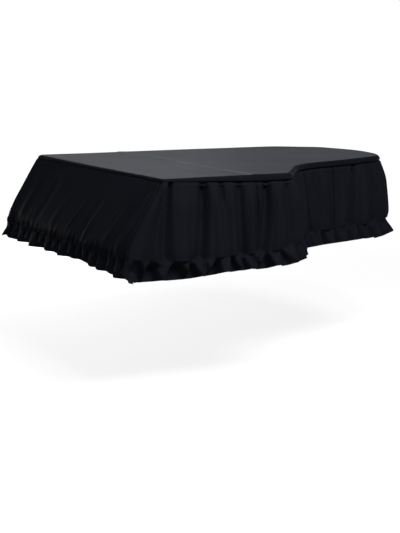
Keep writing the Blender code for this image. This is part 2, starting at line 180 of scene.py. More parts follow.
BENT_SIDE_FOLDS = [
    Fold(0.735, 0.730, 0.728, 0.022, 0.026, -0.011, 0.10, 0.95, 0.4),
    Fold(0.790, 0.795, 0.790, 0.034, 0.036, 0.009, 0.12, 0.92, 0.0),
    Fold(0.845, 0.842, 0.850, 0.018, 0.026, -0.009, 0.10, 0.92, 0.5),
    Fold(0.905, 0.910, 0.915, 0.036, 0.038, 0.008, 0.12, 0.92, 0.0),
    Fold(0.968, 0.965, 0.960, 0.018, 0.026, -0.009, 0.10, 0.95, 0.5),
    Fold(1.025, 1.030, 1.030, 0.036, 0.038, 0.008, 0.12, 0.92, 0.0),
    Fold(1.095, 1.112, 1.145, 0.014, 0.018, -0.011, 0.10, 0.95, 0.6),
    Fold(1.150, 1.165, 1.185, 0.012, 0.016, 0.005, 0.15, 0.80, 0.5),
    Fold(1.200, 1.200, 1.215, 0.012, 0.014, -0.004, 0.10, 0.85, 0.6),
    Fold(1.265, 1.270, 1.275, 0.044, 0.046, 0.009, 0.10, 0.92, 0.0),
    Fold(1.348, 1.347, 1.345, 0.009, 0.012, -0.008, 0.04, 0.80, 0.8),
    Fold(1.400, 1.410, 1.400, 0.030, 0.030, 0.004, 0.15, 0.90, 0.0),
    Fold(1.536, 1.502, 1.494, 0.022, 0.032, -0.018, 0.06, 0.98, 0.5),
    Fold(1.596, 1.590, 1.590, 0.034, 0.036, 0.010, 0.08, 0.94, 0.0),
    Fold(1.622, 1.650, 1.670, 0.010, 0.012, 0.004, 0.06, 0.60, 0.6),
    Fold(1.690, 1.700, 1.705, 0.018, 0.048, -0.011, 0.40, 0.98, 0.3),
    Fold(1.765, 1.765, 1.770, 0.040, 0.040, 0.009, 0.10, 0.92, 0.0),
    Fold(1.840, 1.835, 1.830, 0.022, 0.030, -0.010, 0.12, 0.95, 0.4),
    Fold(1.893, 1.893, 1.893, 0.036, 0.036, 0.008, 0.12, 0.92, 0.0),
]
SKIRT_FOLDS_FROM = 0.06      # folds that begin past this hang free of the treble corner
PLAIN_FRONT_UP_TO = -0.1     # folds that begin before this lie on the plain part of the front
TROUGH_GAIN = 2.9            # the skirts' troughs are this much deeper than their rows say
RIDGE_GAIN = 1.7
PLAIN_FRONT_GAIN = 1.5
SKIRT_CRISP = 0.4            # share of a row's crispness that is drawn on the skirts
FRONT_CRISP = 0.7            # and elsewhere
TROUGH_BEFORE, TROUGH_BEHIND = 2.1, 1.1  # a trough slopes in on one side and is steep on the other
RIDGE_RISE, TROUGH_RISE = 0.30, 0.06     # ridges fill out slowly below the edge, troughs at once
FOLD_START = -0.04           # folds begin just behind the edge
PLAIN_FRONT_START = 0.2      # on the plain front, this far above the level where they are full
RUNS_ON_FROM = 0.7           # skirt folds that fade below this level run on
RUNS_ON_TO = 1.12            # into the top of the ruffle
FADE_BEFORE, FADE_AFTER = 0.16, 0.06
FAR_FOLDS_START = 1.945
FAR_FOLD_PITCH = 0.105
FAR_UNEVEN = (0.7, 1.3)      # folds and valleys there are spaced by this share of their pitch

# Valleys of the ruffle on the cheek side: where they start at the gathers and end at the hem.
Valley = namedtuple("Valley", "gathers hem wide_gathers wide_hem depth")
CHEEK_VALLEYS = [
    Valley(0.012, 0.008, 0.004, 0.018, 0.022),
    Valley(0.036, 0.036, 0.004, 0.015, 0.020),
    Valley(0.082, 0.083, 0.004, 0.024, 0.024),
    Valley(0.124, 0.132, 0.004, 0.030, 0.022),
    Valley(0.190, 0.195, 0.004, 0.024, 0.010),
    Valley(0.258, 0.232, 0.004, 0.034, 0.024),
    Valley(0.325, 0.336, 0.004, 0.024, 0.018),
    Valley(0.378, 0.386, 0.004, 0.020, 0.014),
    Valley(0.440, 0.446, 0.004, 0.024, 0.010),
    Valley(0.503, 0.492, 0.004, 0.034, 0.024),
    Valley(0.572, 0.588, 0.004, 0.026, 0.016),
    Valley(0.640, 0.648, 0.004, 0.024, 0.012),
    Valley(0.712, 0.716, 0.004, 0.028, 0.018),
]
CHEEK_VALLEYS_END = 0.74
FRONT_SCALLOPS = 16
FAR_VALLEY_PITCH = 0.092
FRONT_VALLEY_GAIN = 1.9      # valleys are this much deeper than their rows say
SKIRT_VALLEY_GAIN = 3.0
SKIRT_VALLEY_WIDE = 1.35
VALLEY_OPENS = 0.9           # powers by which a valley widens and deepens towards the hem
VALLEY_DEEPENS = 2.2
RUFFLE_FLARE = 0.010         # how far the ruffle stands out at the hem
FRONT_FLARE = 0.006          # and how much more on the front
HEM_DIP = 0.04               # where the ruffle stands out its hem hangs lower, by this share
FRONT_HEM_DIP = 0.08         # and this much more on the front
HEM_DIP_LEVEL = 0.03         # folds this far in have no dip

SEAM_LAP = 0.0022            # the cross seam's allowance raises the cloth by this
SEAM_BEHIND = 0.042          # the rise dies out this far behind the seam, where the allowance lies
SEAM_BEFORE = 0.006          # and this far before it
SEAM_HIGHLIGHT_STRIP = (-SEAM_BEFORE - 0.004, 0.005)   # strip beside the seam painted paler: a painted highlight on the seam's ridge

# Fineness of the visible sheets: steps along the lid's edge, and rows down the cloth.
FRONT_STEP = 0.0050
TREBLE_STEP = 0.0058
SPINE_STEP = 0.0068
FAN_STEP = 0.0026
TOP_EDGE_STEP = 0.009
UPPER_ROWS = 58
LOWER_ROWS = 16
ROW_CROWDING = 0.96          # below 1, rows stand a little wider apart near the top
EDGE_ROWS = 9                # points round the turned-down edge
TOP_GRID = 0.016             # spacing of the points inside the top
SEAM_GRID = 0.012            # and along the rows beside the cross seam
SEAM_INSET = 0.01            # those rows stop this far from the sides
SEAM_CLEAR = 0.095           # the plain grid keeps this far from the seam
SEAM_ROWS = (0.003, 0.006, 0.010, 0.015, 0.022, 0.032, 0.045, 0.062, 0.080)   # distances from it
FLAT_ENOUGH = 0.95           # faces of the top that are flatter than this aren't turned down; the steeper ones take the darker copy, painted shade

# ---- plan of the lid ----------------------------------------------------------------------------

Piece = namedtuple("Piece", "start end centre radius angle turn length")


def plan_pieces(corners):
    """The outline as arcs and straight pieces in turn, from the first corner's arc."""
    arcs = []
    for before, corner, after in zip(corners[-1:] + corners[:-1], corners, corners[1:] + corners[:1]):
        here = Vector((corner.x, corner.y))
        came = (here - Vector((before.x, before.y))).normalized()
        leaves = (Vector((after.x, after.y)) - here).normalized()
        turn = math.atan2(came.x * leaves.y - came.y * leaves.x, came.dot(leaves))
        reach = corner.radius * math.tan(abs(turn) / 2)
        side = math.copysign(1.0, turn)
        start = here - came * reach
        centre = start + side * corner.radius * Vector((-came.y, came.x))
        arcs.append((start, here + leaves * reach, centre, corner.radius, turn))
    pieces = []
    for arc, following in zip(arcs, arcs[1:] + arcs[:1]):
        start, end, centre, radius, turn = arc
        angle = math.atan2(start.y - centre.y, start.x - centre.x)
        pieces.append(Piece(start, end, centre, radius, angle, turn, radius * abs(turn)))
        run = following[0] - end
        pieces.append(Piece(end, following[0], None, 0.0, 0.0, 0.0, run.length))
    return pieces


PIECES = plan_pieces(LID_CORNERS)
STARTS = [sum(piece.length for piece in PIECES[:i]) for i in range(len(PIECES))]
AROUND = sum(piece.length for piece in PIECES)
TREBLE_CORNER = STARTS[2] + PIECES[2].length / 2          # piece 2 is the arc of that corner
FRONT_LENGTH = TREBLE_CORNER - PIECES[0].length / 2
LOOP_END = AROUND - FRONT_LENGTH
TAIL_SEAM_PIECE = 17                                      # the straight run at the tail's bass end
SIDE_SEAM = STARTS[TAIL_SEAM_PIECE] + PIECES[TAIL_SEAM_PIECE].length / 2 - TREBLE_CORNER
CHEEK_CROSS_SEAM = CROSS_SEAM + FRONT_LENGTH / 2 - HALF_WIDTH


def on_lid(along):
    """Point on the lid's edge and the outward direction there."""
    travelled = (along + TREBLE_CORNER) % AROUND
    i = bisect.bisect_right(STARTS, travelled) - 1
    piece = PIECES[i]
    part = travelled - STARTS[i]
    if piece.centre is None:
        way = (piece.end - piece.start).normalized()
        return piece.start + way * part, Vector((way.y, -way.x))
    side = math.copysign(1.0, piece.turn)
    angle = piece.angle + side * part / piece.radius
    ray = Vector((math.cos(angle), math.sin(angle)))
    return piece.centre + ray * piece.radius, ray * side


# ---- rules for the hang of the cloth ------------------------------------------------------------


def read(table, x, column=1):
    """A table read as a smooth curve through its rows, by its first column."""
    xs = np.array([row[0] for row in table])
    ys = np.array([row[column] for row in table])
    slopes = np.gradient(ys, xs)
    x = np.clip(x, xs[0], xs[-1])
    i = np.clip(np.searchsorted(xs, x, side="right") - 1, 0, len(xs) - 2)
    width = xs[i + 1] - xs[i]
    t = (x - xs[i]) / width
    start = (2 * t ** 3 - 3 * t ** 2 + 1) * ys[i] + (t ** 3 - 2 * t ** 2 + t) * width * slopes[i]
    end = (3 * t ** 2 - 2 * t ** 3) * ys[i + 1] + (t ** 3 - t ** 2) * width * slopes[i + 1]
    return start + end


def smooth(low, high, x):
    """0 below low, 1 above high, and a soft step between them."""
    share = np.clip((x - low) / (high - low), 0, 1)
    return share * share * (3 - 2 * share)


def crest(x, crisp):
    """1 in the middle and 0 from one half width away: round, or crisp like a pressed crease."""
    x = np.minimum(np.abs(x), 1)
    return (1 - crisp) * (0.5 + 0.5 * np.cos(np.pi * x)) + crisp * (1 - x) ** 2


def pocket(x):
    """A hollow with a flat middle and steep sides, from -1 to 1."""
    return 1 - smooth(0.35, 1.0, np.abs(x))


def past_corner(along):
    """Distance past the nearer front corner, on to a skirt; below 0 on the front panel."""
    from_middle = (along + FRONT_LENGTH / 2) % AROUND
    return np.minimum(from_middle, AROUND - from_middle) - FRONT_LENGTH / 2


def far_folds():
    """Folds of the tail and the spine, which hang like the rest: troughs and ridges in turn."""
    draw, draw_crisp = random.Random(11), random.Random(12)
    folds = []
    along = FAR_FOLDS_START
    while along < LOOP_END - 0.12:
        pitch = FAR_FOLD_PITCH * draw.uniform(*FAR_UNEVEN)
        lean = draw.uniform(-0.025, 0.025)
        depth = draw.uniform(0.007, 0.014)
        height = draw.uniform(0.006, 0.011)
        crisp = draw_crisp.uniform(0.2, 0.6)
        folds.append(Fold(along, along + lean / 2, along + lean, 0.016, 0.028,
                          -depth, 0.08, 0.95, crisp))
        top = along + pitch / 2
        folds.append(Fold(top, top + lean / 2, top + lean, pitch * 0.36, pitch * 0.38,
                          height, 0.12, 0.92, 0.0))
        along += pitch
    return folds


Pucker = namedtuple("Pucker", "place lean tall wide out crisp")


def puckers():
    """Short uneven creases that the gathers throw up into the cloth, taller towards the bass."""
    draw = random.Random(23)
    creases = []
    along = -FRONT_LENGTH
    while along < LOOP_END:
        front = past_corner(along) < 0
        bass = min(max(-along / FRONT_LENGTH, 0), 1)
        tall = draw.uniform(0.10, 0.24 + 0.14 * bass) if front else draw.uniform(0.04, 0.16)
        lean = draw.uniform(0.004, 0.040) if front else draw.uniform(-0.020, 0.030)
        height = draw.uniform(0.004, 0.010) if front else draw.uniform(0.0008, 0.0026)
        wide = draw.uniform(0.008, 0.015)
        creases.append(Pucker(along, lean, tall, wide, height, draw.uniform(0.2, 0.8)))
        along += draw.uniform(0.040, 0.085) if front else draw.uniform(0.012, 0.034)
    return creases


def front_valleys():
    """Valleys of the ruffle across the front, nearly even."""
    draw = random.Random(4)
    pitch = FRONT_LENGTH / FRONT_SCALLOPS
    valleys = []
    for i in range(FRONT_SCALLOPS):
        place = -FRONT_LENGTH + (i + 0.5) * pitch + draw.uniform(-0.010, 0.010)
        lean = draw.uniform(-0.006, 0.006)
        wide = draw.uniform(0.54, 0.62) * pitch
        valleys.append(Valley(place, place + lean, 0.006, wide, draw.uniform(0.040, 0.052)))
    return valleys


def far_valleys():
    """Valleys of the ruffle on the bent side, the tail and the spine."""
    draw = random.Random(9)
    valleys = []
    place = CHEEK_VALLEYS_END + 0.05
    while place < LOOP_END - 0.03:
        wide = draw.uniform(0.024, 0.040)
        lean = draw.uniform(-0.012, 0.012)
        valleys.append(Valley(place, place + lean, 0.005, wide, draw.uniform(0.010, 0.024)))
        place += FAR_VALLEY_PITCH * draw.uniform(*FAR_UNEVEN)
    return valleys


FOLDS = FRONT_FOLDS + CHEEK_FOLDS + BENT_SIDE_FOLDS + far_folds()
PUCKERS = puckers()
VALLEYS = front_valleys() + CHEEK_VALLEYS + far_valleys()


def wander(along, level, seed, length, tall):
    """A slow, seeded unevenness between about -1 and 1 that runs round the cover without a step."""
    draw = random.Random(seed)
    total = np.zeros_like(along)
    turns = AROUND / length
    for _ in range(7):
        count = max(1, round(turns * draw.uniform(0.6, 1.5)))
        phase = draw.uniform(0, 2 * math.pi)
        sway = draw.uniform(-1, 1) * tall
        total = total + np.sin(2 * np.pi * count * along / AROUND + phase + sway * level)
    return total / 3.2


Manner = namedtuple("Manner", "gain crisp start full end")


def manner(fold):
    """How a fold is drawn: its gain and crispness, and the levels where it starts, is full and ends."""
    on_skirt = fold.top > SKIRT_FOLDS_FROM
    on_plain_front = fold.top <= PLAIN_FRONT_UP_TO
    if on_skirt:
        gain, crisp = TROUGH_GAIN if fold.out < 0 else RIDGE_GAIN, fold.crisp * SKIRT_CRISP
    else:
        gain, crisp = PLAIN_FRONT_GAIN if on_plain_front else 1.0, fold.crisp * FRONT_CRISP
    start = fold.rise - PLAIN_FRONT_START if on_plain_front else FOLD_START
    full = fold.rise + (RIDGE_RISE if fold.out > 0 else TROUGH_RISE)
    end = RUNS_ON_TO if on_skirt and fold.fade >= RUNS_ON_FROM else fold.fade
    return Manner(gain, crisp, start, full, end)


def on_front(along):
    """1 on the front panel and 0 on the skirts, with a soft step at the corners."""
    return 1 - smooth(-FRONT_ENDS, FRONT_ENDS, past_corner(along))


def fold_height(along, level):
    """How far folds, puckers and the ruffle push the cloth out from its plain hang."""
    upper = np.minimum(level, 1)
    lower = np.maximum(level - 1, 0)
    height = np.zeros_like(along)
    for fold in FOLDS:
        gain, crisp, start, full, end = manner(fold)
        bend = fold.mid - (fold.top + fold.foot) / 2
        centre = fold.top + (fold.foot - fold.top) * upper + bend * 4 * upper * (1 - upper)
        wide = fold.wide_top + (fold.wide_foot - fold.wide_top) * upper
        if fold.top > SKIRT_FOLDS_FROM and fold.out < 0:
            wide = wide * np.where(along < centre, TROUGH_BEFORE, TROUGH_BEHIND)
        fading = smooth(end - FADE_BEFORE, end + FADE_AFTER, level)
        strength = smooth(start, full, upper) * (1 - fading)
        height += gain * fold.out * strength * crest((along - centre) / wide, crisp)
    for place, lean, tall, wide, out, crisp in PUCKERS:
        up = 1 - upper
        centre = place + lean * up / tall
        strength = (1 - smooth(0, tall, up)) * (1 - smooth(0.0, 0.5, lower))
        narrow = wide * (0.6 + 0.7 * np.minimum(up / tall, 1) + 0.8 * lower)
        height += out * strength * crest((along - centre) / narrow, crisp)
    for valley in VALLEYS:
        centre = valley.gathers + (valley.hem - valley.gathers) * lower
        wide = valley.wide_gathers + (valley.wide_hem - valley.wide_gathers) * lower ** VALLEY_OPENS
        strength = 1 - (1 - lower) ** VALLEY_DEEPENS
        gain = FRONT_VALLEY_GAIN
        if valley.gathers >= 0:
            gain, wide = SKIRT_VALLEY_GAIN, wide * SKIRT_VALLEY_WIDE
        height -= gain * valley.depth * strength * pocket((along - centre) / wide)
    front = on_front(along)
    height += (RUFFLE_FLARE + FRONT_FLARE * front) * smooth(0.1, 1, lower)
    calm = smooth(0.0, 0.15, level)          # the cloth lies still behind the edge of the top
    height += 0.0022 * calm * wander(along, level, 3, 0.45, 2.0)
    height += 0.0008 * calm * (1 - 0.8 * front) * wander(along, level, 8, 0.07, 5.0)
    return height


def wrap(along):
    """The place as the tables of the edge and the hang count it, within one round of the cover."""
    first, last = EDGES[0].along, EDGES[-1].along
    return np.where(along < first, along + AROUND, np.where(along > last, along - AROUND, along))


def hang(along, level):
    """Plain hang of the cloth, without folds, for arrays of places and levels."""
    ends = [on_lid(a) for a in along[:, 0]]
    place = np.array([[p.x, p.y] for p, _ in ends])[:, None, :]
    outward = np.array([[n.x, n.y] for _, n in ends])[:, None, :]
    wrapped = wrap(along)
    depth, edge_out = read(EDGES, wrapped, 1), read(EDGES, wrapped, 2)
    gathers, hem, fullness = (read(HANGS, wrapped, column) for column in (1, 2, 3))
    upper, lower = np.clip(level, 0, 1), np.maximum(level - 1, 0)
    drop = (gathers - depth) * upper + (hem - gathers) * lower
    front = 1 - smooth(-CORNER_BLEND, CORNER_BLEND, past_corner(along))
    out = edge_out + read(STAND_OUT, level) * fullness * (1 - front)
    tuck = 1 - smooth(*TUCK_LEVELS, level)
    out -= (TUCK + TUCK_SKIRT * smooth(TUCK_SKIRT_FROM, TUCK_SKIRT_TO, wrapped)) * tuck
    z = -depth - drop + TUCKED_UP * (level < 0)
    forward = read(FALL, drop) * np.clip(1 - past_corner(along) / FAN_REACH, 0, 1)
    x = place[..., 0] + outward[..., 0] * out
    y = place[..., 1] + outward[..., 1] * out - forward
    return np.stack([x, y, z], axis=-1)


def grid_normals(points):
    """Outward directions on a grid of points, column by column round the cover."""
    along = np.gradient(points, axis=0)
    down = np.gradient(points, axis=1)
    normals = np.cross(down, along)
    return normals / np.maximum(np.linalg.norm(normals, axis=-1, keepdims=True), 1e-12)


# ---- meshes -------------------------------------------------------------------------------------

CLOTH_MAP = "cloth_map"      # name of the map that the weave follows


def mesh_object(name, verts, faces, uvs):
    """A plain mesh object at the origin, smooth, with a map in metres along the cloth."""
    mesh = bpy.data.meshes.new(name)
    mesh.from_pydata([tuple(v) for v in verts], [], faces)
    mesh.update()
    layer = mesh.uv_layers.new(name=CLOTH_MAP)
    corners = np.empty(len(mesh.loops), dtype=np.int32)
    mesh.loops.foreach_get("vertex_index", corners)
    layer.data.foreach_set("uv", np.asarray(uvs, dtype=np.float32)[corners].ravel())
    mesh.shade_smooth()
    mesh.set_sharp_from_angle(angle=math.radians(70))
    obj = bpy.data.objects.new(name, mesh)
    bpy.context.scene.collection.objects.link(obj)
    return obj


def close_sheet(outer, inner):
    """Vertices and faces of a closed sheet from two grids of points."""
    columns, rows = outer.shape[:2]
    index = np.arange(columns * rows).reshape(columns, rows)
    behind = index + columns * rows

    def quads(a, b, c, d):
        return np.stack([a.ravel(), b.ravel(), c.ravel(), d.ravel()], axis=1).tolist()

    faces = quads(index[:-1, :-1], index[:-1, 1:], index[1:, 1:], index[1:, :-1])
    faces += quads(behind[:-1, :-1], behind[1:, :-1], behind[1:, 1:], behind[:-1, 1:])
    faces += quads(index[:-1, 0], index[1:, 0], behind[1:, 0], behind[:-1, 0])
    faces += quads(index[:-1, -1], behind[:-1, -1], behind[1:, -1], index[1:, -1])
    faces += quads(index[0, :-1], behind[0, :-1], behind[0, 1:], index[0, 1:])
    faces += quads(index[-1, :-1], index[-1, 1:], behind[-1, 1:], behind[-1, :-1])
    return np.concatenate([outer.reshape(-1, 3), inner.reshape(-1, 3)]), faces


def levels():
    """Levels of the rows: one behind the edge of the top, then down to the gathers and the hem."""
    upper = np.linspace(0, 1, UPPER_ROWS) ** ROW_CROWDING
    lower = 1 + np.linspace(0, 1, LOWER_ROWS)[1:]
    return np.concatenate([[-0.001], upper, lower])


def cloth_grid(stations):
    """The outer side of the hanging cloth at the stations, and its directions."""
    along, level = np.meshgrid(stations, levels(), indexing="ij")
    plain = hang(along, level)
    height = fold_height(along, np.maximum(level, 0))
    points = plain + grid_normals(plain) * height[..., None]
    dip = HEM_DIP + FRONT_HEM_DIP * on_front(along)
    points[..., 2] -= dip * (height + HEM_DIP_LEVEL) * smooth(0, 1, level - 1)
    return points, grid_normals(points)


def hanging_piece(name, stations):
    """A sheet between two vertical seams. Returns the object and its outer grid."""
    step_in, step_out = stations[1] - stations[0], stations[-1] - stations[-2]
    wider = np.concatenate([[stations[0] - step_in], stations, [stations[-1] + step_out]])
    points, normals = cloth_grid(wider)
    points, normals = points[1:-1], normals[1:-1]
    inner = points - normals * CLOTH
    verts, faces = close_sheet(points, inner)
    lengths = np.concatenate([[0], np.cumsum(np.linalg.norm(np.diff(points[:, 5], axis=0), axis=1))])
    downs = np.zeros(points.shape[:2])
    downs[:, 1:] = np.cumsum(np.linalg.norm(np.diff(points, axis=1), axis=2), axis=1)
    uv = np.stack([np.broadcast_to(lengths[:, None], downs.shape), downs], axis=-1).reshape(-1, 2)
    obj = mesh_object(name, verts, faces, np.concatenate([uv, uv]))
    return obj, points, normals


def spread(start, end, step):
    """Even places from start to end, no further apart than a step."""
    count = max(1, math.ceil((end - start) / step))
    return np.linspace(start, end, count + 1)


def turned_edge(depth, out, angles):
    """Section of the top's edge, out from the lid and up: outer side, then inner side."""
    c, s = np.cos(angles), np.sin(angles)
    reach, fall = EDGE_ROUND + out, depth + TOP_Z
    outer = np.stack([-EDGE_ROUND + reach * s, TOP_Z - fall * (1 - c)], axis=1)
    steep = np.hypot(fall * s, reach * c)
    normal = np.stack([fall * s / steep, reach * c / steep], axis=1)
    return outer, outer - normal * CLOTH


def top_ripple(x, y):
    """Slight unevenness of the cloth that lies on the lid."""
    ripple = 0.0005 * np.sin(5.1 * x + 2.3 * y + 0.7) + 0.0004 * np.sin(-3.2 * x + 7.9 * y)
    ripple += 0.0003 * np.sin(14.0 * x - 9.0 * y + 1.1) * np.sin(6.0 * y + 2.0)
    behind = y - (FRONT_Y + CROSS_SEAM)
    reach = np.where(behind > 0, SEAM_BEHIND, SEAM_BEFORE)
    return ripple + SEAM_LAP * np.exp(-(behind / reach) ** 2)


def edge_rings(stations, angles):
    """Sections of the turned-down edge at the stations: the outer side down, then the inner side up."""
    rings = []
    for along in stations:
        place, outward = on_lid(along)
        wrapped = wrap(np.array(along))
        depth, out = float(read(EDGES, wrapped, 1)), float(read(EDGES, wrapped, 2))
        uneven = 0.0012 * float(wander(np.array([along]), 0.0, 17, 0.16, 0.0)[0])
        outer, inner = turned_edge(depth, out, angles)
        section = np.concatenate([outer, inner[::-1]])
        swell = np.concatenate([np.sin(angles * 2), np.sin(angles * 2)[::-1]]) * uneven
        rings.append([(place.x + outward.x * (o + w), place.y + outward.y * (o + w), z)
                      for (o, z), w in zip(section, swell)])
    return np.array(rings)


def points_inside(rim, side):
    """Points for the flat part of a panel: a plain grid, and closer rows beside the cross seam."""
    low, high = np.min(rim, axis=0), np.max(rim, axis=0)
    seam_y = FRONT_Y + CROSS_SEAM
    inside = []
    for x in np.arange(low[0] + TOP_GRID / 2, high[0], TOP_GRID):
        for y in np.arange(low[1] + TOP_GRID / 4, high[1], TOP_GRID):
            if abs(y - FRONT_Y - CROSS_SEAM) > SEAM_CLEAR:
                inside.append(Vector((x, y)))
    for distance in SEAM_ROWS:
        y = seam_y + side * distance
        inside += [Vector((x, y)) for x in np.arange(low[0] + SEAM_INSET, high[0] - SEAM_INSET, SEAM_GRID)]
    return inside


def top_piece(name, start, end, side):
    """A flat panel with its turned-down edge, on the side of the cross seam: -1 before it, 1 behind."""
    stations = spread(start, end, TOP_EDGE_STEP)
    angles = np.radians(np.linspace(0, 90, EDGE_ROWS))
    rings = edge_rings(stations, angles)
    edge = [Vector((p[0], p[1])) for p in rings[:, 0]]
    inside = points_inside(rings[:, 0, :2], side)
    loop = list(range(len(edge)))
    verts2, _, tris, origin, _, _ = geometry.delaunay_2d_cdt(edge + inside, [], [loop], 1, 1e-6)
    plan = np.array([[v.x, v.y] for v in verts2])
    ring_of = {}
    for i, sources in enumerate(origin):
        for source in sources:
            if source < len(edge):
                ring_of[source] = i
    lift = top_ripple(plan[:, 0], plan[:, 1])
    upper = np.column_stack([plan, TOP_Z + lift])
    lower = np.column_stack([plan, TOP_Z + lift - CLOTH])
    size = 2 * len(angles)
    count = len(plan)
    ring_index = np.zeros((len(stations), size), dtype=int)
    extra = []
    for i in range(len(stations)):
        for j in range(size):
            if j == 0:
                ring_index[i, j] = ring_of[i]
            elif j == size - 1:
                ring_index[i, j] = ring_of[i] + count
            else:
                fade = math.cos(angles[j if j < len(angles) else size - 1 - j])
                raised = rings[i, j] + np.array([0, 0, lift[ring_of[i]] * fade])
                ring_index[i, j] = 2 * count + len(extra)
                extra.append(raised)
    verts = np.concatenate([upper, lower, np.array(extra)])
    faces = [list(t) for t in tris]
    faces += [[k + count for k in reversed(t)] for t in tris]
    for here, following in zip(ring_index[:-1], ring_index[1:]):
        for j in range(size - 1):
            faces.append([here[j], here[j + 1], following[j + 1], following[j]])
    first, last = ring_index[0], ring_index[-1]
    faces.append(list(first[::-1]))
    faces.append(list(last))
    faces.append([last[0], last[-1], first[-1], first[0]])
    faces = [[int(k) for k in f] for f in faces]
    obj = mesh_object(name, verts, faces, verts[:, :2])
    build = bmesh.new()
    build.from_mesh(obj.data)
    bmesh.ops.recalc_face_normals(build, faces=build.faces)
    build.to_mesh(obj.data)
    build.free()
    obj.data.set_sharp_from_angle(angle=math.radians(50))
    return obj


# ---- materials ----------------------------------------------------------------------------------


def linear(hex_colour):
    """Linear colour of an sRGB hex value such as '1a1c20'."""
    values = [int(hex_colour[i:i + 2], 16) / 255 for i in (0, 2, 4)]
    return tuple(v / 12.92 if v <= 0.04045 else ((v + 0.055) / 1.055) ** 2.4 for v in values) + (1.0,)


def add(tree, kind, values=None, links=None, **settings):
    """A node with its settings, its unlinked values and its links from other nodes' outputs."""
    node = tree.nodes.new(kind)
    for key, value in settings.items():
        setattr(node, key, value)
    for socket, value in (values or {}).items():
        node.inputs[socket].default_value = value
    for socket, source in (links or {}).items():
        tree.links.new(source, node.inputs[socket])
    return node


def woven_polyester(name, hex_colour, roughness, gloss, sheen):
    """Plain-woven near-black polyester. Gloss is its shine, and sheen its soft pale reflection at low
    angles; copies differ in colour and sheen to paint light and shade.
    """
    material = bpy.data.materials.new(name)
    material.use_nodes = True
    tree = material.node_tree
    shader = tree.nodes["Principled BSDF"]
    place = add(tree, "ShaderNodeUVMap", uv_map=CLOTH_MAP)
    # Real threads lie 0.4 mm apart, too fine to show: they are drawn 1.6 mm apart.
    warp = add(tree, "ShaderNodeTexWave", {"Scale": 100.0, "Distortion": 0.6, "Detail": 1.0},
               {"Vector": place.outputs["UV"]}, bands_direction="X")
    weft = add(tree, "ShaderNodeTexWave", {"Scale": 100.0, "Distortion": 0.6, "Detail": 1.0},
               {"Vector": place.outputs["UV"]}, bands_direction="Y")
    weave = add(tree, "ShaderNodeMix", {0: 0.5}, {2: warp.outputs["Fac"], 3: weft.outputs["Fac"]},
                data_type="FLOAT")
    spot = add(tree, "ShaderNodeTexCoord")
    cloud = add(tree, "ShaderNodeTexNoise", {"Scale": 4.0, "Detail": 5.0, "Roughness": 0.55},
                {"Vector": spot.outputs["Object"]})
    crumple = add(tree, "ShaderNodeTexNoise", {"Scale": 38.0, "Detail": 4.0, "Roughness": 0.6},
                  {"Vector": spot.outputs["Object"]})
    base = linear(hex_colour)
    ramp = add(tree, "ShaderNodeValToRGB", None, {"Fac": cloud.outputs["Fac"]})
    ramp.color_ramp.elements[0].position = 0.3
    ramp.color_ramp.elements[0].color = tuple(c * 0.86 for c in base[:3]) + (1,)
    ramp.color_ramp.elements[1].position = 0.7
    ramp.color_ramp.elements[1].color = tuple(c * 1.14 for c in base[:3]) + (1,)
    rough = add(tree, "ShaderNodeMapRange", {"To Min": roughness - 0.05, "To Max": roughness + 0.05},
                {"Value": weave.outputs[0]})
    soft = add(tree, "ShaderNodeBump", {"Strength": 0.12, "Distance": 0.002},
               {"Height": crumple.outputs["Fac"]})
    threads = add(tree, "ShaderNodeBump", {"Strength": 0.10, "Distance": 0.0004},
                  {"Height": weave.outputs[0], "Normal": soft.outputs["Normal"]})
    tree.links.new(ramp.outputs["Color"], shader.inputs["Base Color"])
    tree.links.new(rough.outputs["Result"], shader.inputs["Roughness"])
    tree.links.new(threads.outputs["Normal"], shader.inputs["Normal"])
    shader.inputs["Metallic"].default_value = 0.0
    shader.inputs["IOR"].default_value = 1.5
    shader.inputs["Specular IOR Level"].default_value = gloss
    shader.inputs["Sheen Weight"].default_value = sheen
    shader.inputs["Specular Tint"].default_value = linear("b4bfd8")
    shader.inputs["Sheen Roughness"].default_value = 0.30
    shader.inputs["Sheen Tint"].default_value = linear("c4cbdc")
    return material


def sewing_thread(name, hex_colour):
    """Spun polyester sewing thread: dull black, like the skirts."""
    material = bpy.data.materials.new(name)
    material.use_nodes = True
    tree = material.node_tree
    shader = tree.nodes["Principled BSDF"]
    spot = add(tree, "ShaderNodeTexCoord")
    # The ply of real thread is 0.2 mm: drawn at 0.5 mm.
    twist = add(tree, "ShaderNodeTexNoise", {"Scale": 2000.0, "Detail": 2.0},
                {"Vector": spot.outputs["Object"]})
    ply = add(tree, "ShaderNodeBump", {"Strength": 0.3, "Distance": 0.0002},
              {"Height": twist.outputs["Fac"]})
    shade = add(tree, "ShaderNodeMapRange", {"To Min": 0.42, "To Max": 0.60},
                {"Value": twist.outputs["Fac"]})
    tree.links.new(ply.outputs["Normal"], shader.inputs["Normal"])
    tree.links.new(shade.outputs["Result"], shader.inputs["Roughness"])
    shader.inputs["Base Color"].default_value = linear(hex_colour)
    shader.inputs["Specular IOR Level"].default_value = 0.005
    return material


# ---- stitches -----------------------------------------------------------------------------------


